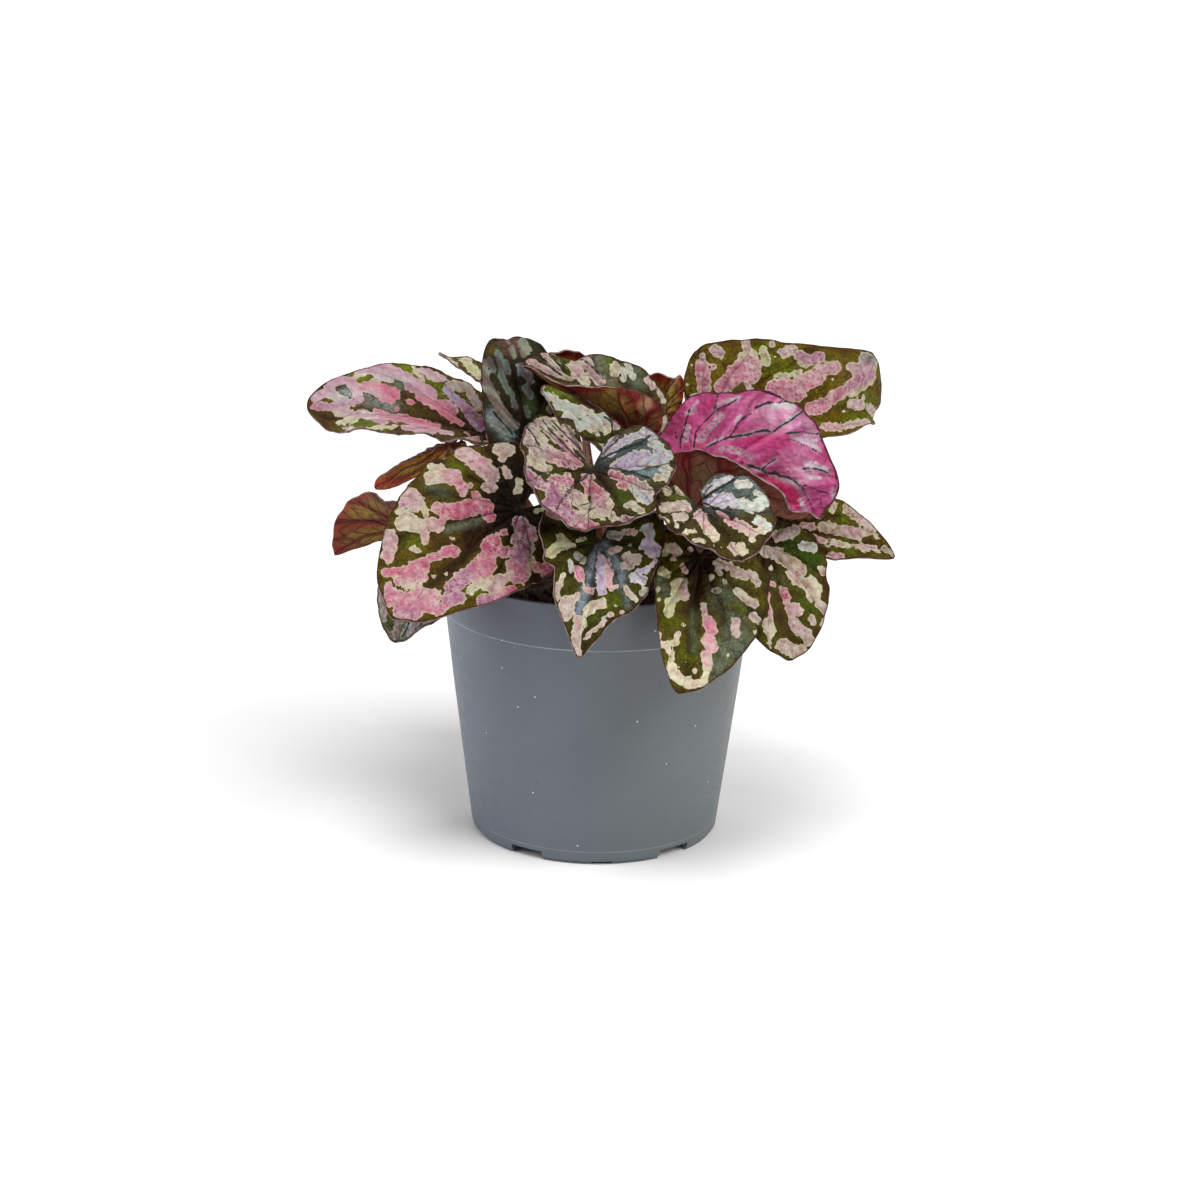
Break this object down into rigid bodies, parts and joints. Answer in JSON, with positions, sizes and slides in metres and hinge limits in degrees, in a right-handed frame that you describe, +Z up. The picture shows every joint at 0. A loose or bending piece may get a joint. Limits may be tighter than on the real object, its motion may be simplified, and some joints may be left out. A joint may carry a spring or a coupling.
{
  "type": "potted rex begonia",
  "caption": "Small rex begonia: oblique heart-shaped, patterned leaves on arching stalks, standing in soil in a plain tapered round nursery pot.",
  "frame": {"origin": "on the pot's axis, where the pot stands on the table", "axes": "+Z up, -Y towards the side that the plant shows to the room, +X to the right seen from there"},
  "size_m": [0.2224, 0.198, 0.1815],
  "materials": {
    "pot_plastic": "satin blue-grey moulded polypropylene, lightly scuffed, with fine pale specks",
    "potting_soil": "matt dark peat with crumbs and fibres",
    "leaf_tissue": "satin living leaf, pebbled between the veins, olive, brown, silver and pink, with a red stalk and short hairs"
  },
  "bodies": {
    "root": {"pot": "pot_plastic", "soil": "potting_soil", "leaf_centre": "leaf_tissue", "leaf_right_small": "leaf_tissue", "leaf_front": "leaf_tissue", "leaf_front_right": "leaf_tissue", "leaf_low_right": "leaf_tissue", "leaf_right": "leaf_tissue", "leaf_big_left": "leaf_tissue", "leaf_low_left": "leaf_tissue", "leaf_left_under": "leaf_tissue", "leaf_left_high": "leaf_tissue", "leaf_far_left": "leaf_tissue", "leaf_back_left": "leaf_tissue", "leaf_upright": "leaf_tissue", "leaf_top": "leaf_tissue", "leaf_top_lower": "leaf_tissue", "leaf_back_red": "leaf_tissue", "leaf_top_right": "leaf_tissue", "leaf_magenta": "leaf_tissue", "leaf_young": "leaf_tissue", "leaf_back_low_left": "leaf_tissue", "leaf_back_low": "leaf_tissue", "leaf_back_low_right": "leaf_tissue", "leaf_back_right": "leaf_tissue", "leaf_back_top": "leaf_tissue"}
  },
  "joints": []
}
